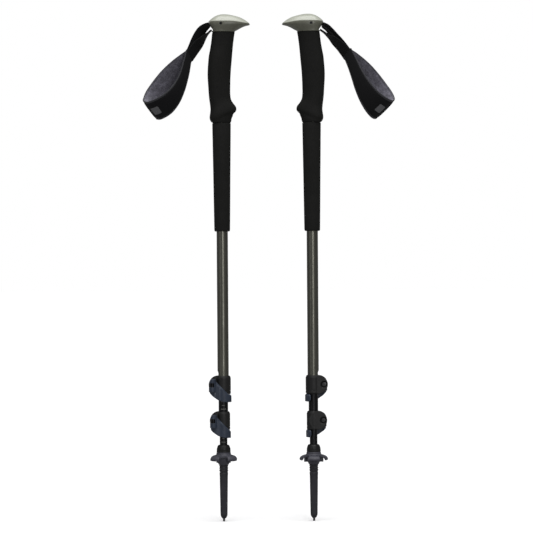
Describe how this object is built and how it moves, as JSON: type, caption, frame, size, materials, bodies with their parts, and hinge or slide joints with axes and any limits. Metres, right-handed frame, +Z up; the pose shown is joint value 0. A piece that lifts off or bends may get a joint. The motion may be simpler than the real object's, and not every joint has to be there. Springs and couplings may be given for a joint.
{
  "type": "trekking poles",
  "caption": "Collapsible trekking poles with lever-clamped telescoping tubes, foam grips, padded wrist loops and mud baskets, standing on their tips.",
  "frame": {"origin": "on the floor, at the middle of the box round both poles and their straps, under the gap between the tips", "axes": "+Z up along both poles; +X from the left pole to the right one; the levers of the left pole are on its -Y side"},
  "size_m": [0.3404, 0.0618, 0.6891],
  "materials": {
    "carbide": "satin",
    "tip_plastic": "matte",
    "basket_plastic": "satin",
    "dark_tube_metal": "satin",
    "tube_metal": "satin",
    "bush_plastic": "satin",
    "collar_plastic": "satin",
    "lever_plastic": "satin",
    "bright_steel": "satin",
    "dark_steel": "satin",
    "foam": "matte",
    "core_plastic": "satin",
    "cap_shell": "satin",
    "cap_dome": "satin",
    "webbing": "matte",
    "pad_cloth": "matte"
  },
  "bodies": {
    "left_lower_section": {"left_carbide_tip": "carbide", "left_flex_tip": "tip_plastic", "left_ferrule": "tip_plastic", "left_lower_tube": "dark_tube_metal", "left_lower_bush": "bush_plastic"},
    "left_mud_basket": {"left_basket": "basket_plastic"},
    "left_middle_section": {"left_middle_tube": "dark_tube_metal", "left_middle_bush": "bush_plastic", "left_lower_lock_collar": "collar_plastic", "left_lower_lock_barrel_nut": "dark_steel"},
    "left_lower_lever": {"left_lower_lock_lever": "lever_plastic"},
    "left_lower_tension_screw": {"left_lower_lock_screw": "bright_steel"},
    "left_upper_section": {"left_upper_tube": "tube_metal", "left_upper_lock_collar": "collar_plastic", "left_upper_lock_barrel_nut": "dark_steel", "left_extension_foam": "foam", "left_grip_core": "core_plastic", "left_grip_foam": "foam", "left_cap_body": "cap_shell", "left_cap_top": "cap_dome", "left_strap_pin": "dark_steel", "left_strap_wedge": "core_plastic", "left_strap_anchor": "webbing"},
    "left_upper_lever": {"left_upper_lock_lever": "lever_plastic"},
    "left_upper_tension_screw": {"left_upper_lock_screw": "bright_steel"},
    "left_strap": {"left_strap_upper_webbing": "webbing", "left_strap_lower_webbing": "webbing", "left_wrist_loop": "pad_cloth"},
    "right_lower_section": {"right_carbide_tip": "carbide", "right_flex_tip": "tip_plastic", "right_ferrule": "tip_plastic", "right_lower_tube": "dark_tube_metal", "right_lower_bush": "bush_plastic"},
    "right_mud_basket": {"right_basket": "basket_plastic"},
    "right_middle_section": {"right_middle_tube": "dark_tube_metal", "right_middle_bush": "bush_plastic", "right_lower_lock_collar": "collar_plastic", "right_lower_lock_barrel_nut": "dark_steel"},
    "right_lower_lever": {"right_lower_lock_lever": "lever_plastic"},
    "right_lower_tension_screw": {"right_lower_lock_screw": "bright_steel"},
    "right_upper_section": {"right_upper_tube": "tube_metal", "right_upper_lock_collar": "collar_plastic", "right_upper_lock_barrel_nut": "dark_steel", "right_extension_foam": "foam", "right_grip_core": "core_plastic", "right_grip_foam": "foam", "right_cap_body": "cap_shell", "right_cap_top": "cap_dome", "right_strap_pin": "dark_steel", "right_strap_wedge": "core_plastic", "right_strap_anchor": "webbing"},
    "right_upper_lever": {"right_upper_lock_lever": "lever_plastic"},
    "right_upper_tension_screw": {"right_upper_lock_screw": "bright_steel"},
    "right_strap": {"right_strap_upper_webbing": "webbing", "right_strap_lower_webbing": "webbing", "right_wrist_loop": "pad_cloth"}
  },
  "joints": [
    {"name": "left_middle_slide", "type": "slide", "parent": "left_lower_section", "child": "left_middle_section", "axis": [0, 0, 1], "range_m": [0, 0.355]},
    {"name": "left_upper_slide", "type": "slide", "parent": "left_middle_section", "child": "left_upper_section", "axis": [0, 0, 1], "range_m": [0, 0.355]},
    {"name": "left_basket_turn", "type": "hinge", "parent": "left_lower_section", "child": "left_mud_basket", "pos_m": [-0.064, 0.0049, 0.077], "axis": [0, 0, 1], "range_deg": [0, 90]},
    {"name": "left_lower_lever_hinge", "type": "hinge", "parent": "left_middle_section", "child": "left_lower_lever", "pos_m": [-0.07735, -0.0056, 0.137], "axis": [0, 0, -1], "range_deg": [0, 110]},
    {"name": "left_lower_screw_turn", "type": "hinge", "parent": "left_middle_section", "child": "left_lower_tension_screw", "pos_m": [-0.07735, 0.0049, 0.137], "axis": [0, 1, 0], "range_deg": [-180, 180]},
    {"name": "left_upper_lever_hinge", "type": "hinge", "parent": "left_upper_section", "child": "left_upper_lever", "pos_m": [-0.07855, -0.0056, 0.1856], "axis": [0, 0, -1], "range_deg": [0, 110]},
    {"name": "left_upper_screw_turn", "type": "hinge", "parent": "left_upper_section", "child": "left_upper_tension_screw", "pos_m": [-0.07855, 0.0049, 0.1856], "axis": [0, 1, 0], "range_deg": [-180, 180]},
    {"name": "left_strap_hinge", "type": "hinge", "parent": "left_upper_section", "child": "left_strap", "pos_m": [-0.0801, 0.0049, 0.6742], "axis": [0, 1, 0], "range_deg": [-8, 60]},
    {"name": "right_middle_slide", "type": "slide", "parent": "right_lower_section", "child": "right_middle_section", "axis": [0, 0, 1], "range_m": [0, 0.355]},
    {"name": "right_upper_slide", "type": "slide", "parent": "right_middle_section", "child": "right_upper_section", "axis": [0, 0, 1], "range_m": [0, 0.355]},
    {"name": "right_basket_turn", "type": "hinge", "parent": "right_lower_section", "child": "right_mud_basket", "pos_m": [0.0584, 0.0049, 0.077], "axis": [0, 0, 1], "range_deg": [0, 90]},
    {"name": "right_lower_lever_hinge", "type": "hinge", "parent": "right_middle_section", "child": "right_lower_lever", "pos_m": [0.07175, 0.0154, 0.137], "axis": [0, 0, -1], "range_deg": [0, 110]},
    {"name": "right_lower_screw_turn", "type": "hinge", "parent": "right_middle_section", "child": "right_lower_tension_screw", "pos_m": [0.07175, 0.0049, 0.137], "axis": [0, -1, 0], "range_deg": [-180, 180]},
    {"name": "right_upper_lever_hinge", "type": "hinge", "parent": "right_upper_section", "child": "right_upper_lever", "pos_m": [0.07295, 0.0154, 0.1856], "axis": [0, 0, -1], "range_deg": [0, 110]},
    {"name": "right_upper_screw_turn", "type": "hinge", "parent": "right_upper_section", "child": "right_upper_tension_screw", "pos_m": [0.07295, 0.0049, 0.1856], "axis": [0, -1, 0], "range_deg": [-180, 180]},
    {"name": "right_strap_hinge", "type": "hinge", "parent": "right_upper_section", "child": "right_strap", "pos_m": [0.0745, 0.0049, 0.6742], "axis": [0, -1, 0], "range_deg": [-8, 60]},
    {"name": "right_pole_lift", "type": "slide", "parent": "left_lower_section", "child": "right_lower_section", "axis": [0, 0, 1], "range_m": [0, 0.05]}
  ]
}
